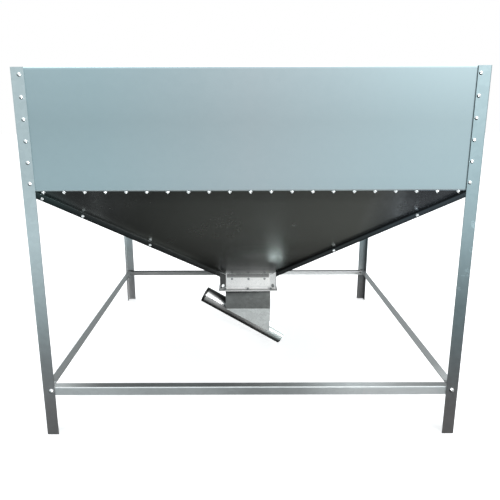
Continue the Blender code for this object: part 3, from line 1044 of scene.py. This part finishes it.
def add_collar_bolts(dull, bright):
    """The collar's bolts, in a darker zinc that paints shade, and as a piece of their own the
    bright ones at its left corners.
    """
    bolts = SmallPiece("collar_bolts", 15)
    for turn in side_turns():
        for across in COLLAR_BOLTS_X:
            bolts.bolt_through_wall(turn, across, COLLAR_BOLT_Z, OUTLET_HALF, COLLAR_INSIDE, M5)
        for across in FLANGE_BOLTS_X:
            bolts.bolt_through_flange(
                turn, across, FLANGE_BOLT_OUT, CHUTE_FLANGE_BOTTOM, COLLAR_FLANGE_TOP, M6)
    corners = SmallPiece("collar_corner_bolts", 16)
    for toward in (-1.0, 1.0):
        for hand, group in ((-1.0, corners), (1.0, bolts)):
            group.bolt_through_fin(hand, toward, CORNER_BOLT_OUT, CORNER_BOLT_Z, 1.0, M8)
    return bolts.finish(dull), corners.finish(bright)


def tube_side(x, turn):
    """A point on the tube's surface over a place along X; turn is 0 at its top."""
    height = TUBE_MIDDLE.z - (x - TUBE_MIDDLE.x) * math.tan(TUBE_SLOPE)
    rise = TUBE_RADIUS * math.cos(turn) / math.cos(TUBE_SLOPE)
    return Vector((x, TUBE_RADIUS * math.sin(turn), height + rise))


def line_points(start, end):
    """Points along a straight bead."""
    count = max(2, int((end - start).length / BEAD_STEP))
    return [start.lerp(end, index / count) for index in range(count + 1)]


def add_welds(material):
    """Beads where the box's plates meet the tube and the flange over them."""
    welds = SmallPiece("chute_welds", 21)
    for hand in (-1.0, 1.0):
        start = tube_side(-OUTLET_HALF + SEAM_INSET, SEAM_TURN * hand)
        end = tube_side(OUTLET_HALF - SEAM_INSET, SEAM_TURN * hand)
        welds.bead(line_points(start, end), TUBE_BEAD)
        saddle = []
        for index in range(SADDLE_STEPS + 1):
            degrees = -SADDLE_DEGREES + 2 * SADDLE_DEGREES * index / SADDLE_STEPS
            saddle.append(tube_side(hand * (OUTLET_HALF + SADDLE_OUT), math.radians(degrees)))
        welds.bead(saddle, TUBE_BEAD)
    for turn in side_turns():
        start = turn @ Vector((-OUTLET_HALF, -OUTLET_HALF, CHUTE_TOP))
        end = turn @ Vector((OUTLET_HALF, -OUTLET_HALF, CHUTE_TOP))
        welds.bead(line_points(start, end), FLANGE_BEAD)
    return welds.finish(material)


def add_studio_lamps():
    """A soft key from the right, a wide lamp overhead, and a spot on collar and chute."""
    area_light(
        "key", place=(2.4, -3.8, 2.8), target=(0.1, 0.0, 0.4), size=(1.4, 1.4),
        power=26.0, colour=(1.0, 0.99, 0.97))
    area_light(
        "sky", place=(0.0, 0.0, 4.5), target=(0.0, 0.0, 0.0), size=(4.0, 4.0),
        power=120.0, colour=(0.95, 0.98, 1.0))
    spot_light(
        "patch", place=(1.6, -3.6, 1.15), target=(0.03, 0.0, 0.26), angle=9.0,
        power=300.0, colour=(1.0, 1.0, 0.98))


def add_chosen_lamps(bolts):
    """Lamps for the pieces that the photo shows brighter than the studio alone makes them."""
    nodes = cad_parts
    tube = [nodes["auger_tube"]]
    collar = [obj for name, obj in nodes.items() if name.startswith("collar")]
    low = area_light(
        "low", place=(0.8, -4.5, 0.35), target=(0.0, -0.7, 0.9), size=(2.0, 0.8),
        power=150.0, colour=WHITE)
    light_only(low, bolts + [nodes["rail_back"]])
    inner = area_light(
        "inner", place=(3.0, -0.2, 0.3), target=(-0.75, 0.73, 0.55), size=(0.6, 0.6),
        power=34.0, colour=(0.94, 1.0, 1.0))
    light_only(inner, [nodes["leg_back_left"]])
    side = area_light(
        "side", place=(0.7, -3.0, 0.7), target=(-0.02, 0.0, 0.18), size=(0.6, 0.6),
        power=110.0, colour=WHITE)
    light_only(side, tube)
    glare = spot_light(
        "glare", place=(0.9, -2.6, 0.9), target=(0.16, 0.0, 0.07), angle=7.0,
        power=1100.0, colour=WHITE)
    light_only(glare, tube)
    fill = area_light(
        "fill", place=(-2.2, -2.4, 0.6), target=(0.08, -0.1, 0.38), size=(0.8, 0.8),
        power=16.0, colour=WHITE)
    light_only(fill, collar)


add_camera()
add_world()
add_floor()
add_studio_lamps()
bpy.context.scene.view_settings.view_transform = "Standard"
finish_nodes()
nut_zinc = galvanised(
    "nut_zinc", (0.84, 0.86, 0.86), rough=0.30, metallic=0.3, spangle=0.06, cloud=0.06,
    size=BOLT_CRYSTALS)
bolt_zinc = galvanised(
    "bolt_zinc", (0.98, 1.0, 1.0), rough=0.16, metallic=0.8, spangle=0.06, cloud=0.06,
    size=BOLT_CRYSTALS, shade=bolt_shade)
weld_zinc = galvanised(
    "weld_zinc", (0.95, 0.97, 0.97), rough=0.40, metallic=0.30, spangle=0.15, cloud=0.10,
    size=BOLT_CRYSTALS)
# A darker copy of the bolts' zinc: painted shade for most of the collar's bolts
shaded_bolt_zinc = galvanised(
    "bolt_painted_shade", (0.30, 0.31, 0.31), rough=0.45, metallic=0.7, spangle=0.10, cloud=0.10,
    size=BOLT_CRYSTALS)
bright_bolts = [
    add_leg_bolts(bolt_zinc), add_edge_bolts(nut_zinc), add_rail_bolts(bolt_zinc),
    add_hip_bolts(nut_zinc)]
_, corner_bolts = add_collar_bolts(shaded_bolt_zinc, nut_zinc)
add_welds(weld_zinc)
add_chosen_lamps([*bright_bolts, corner_bolts])
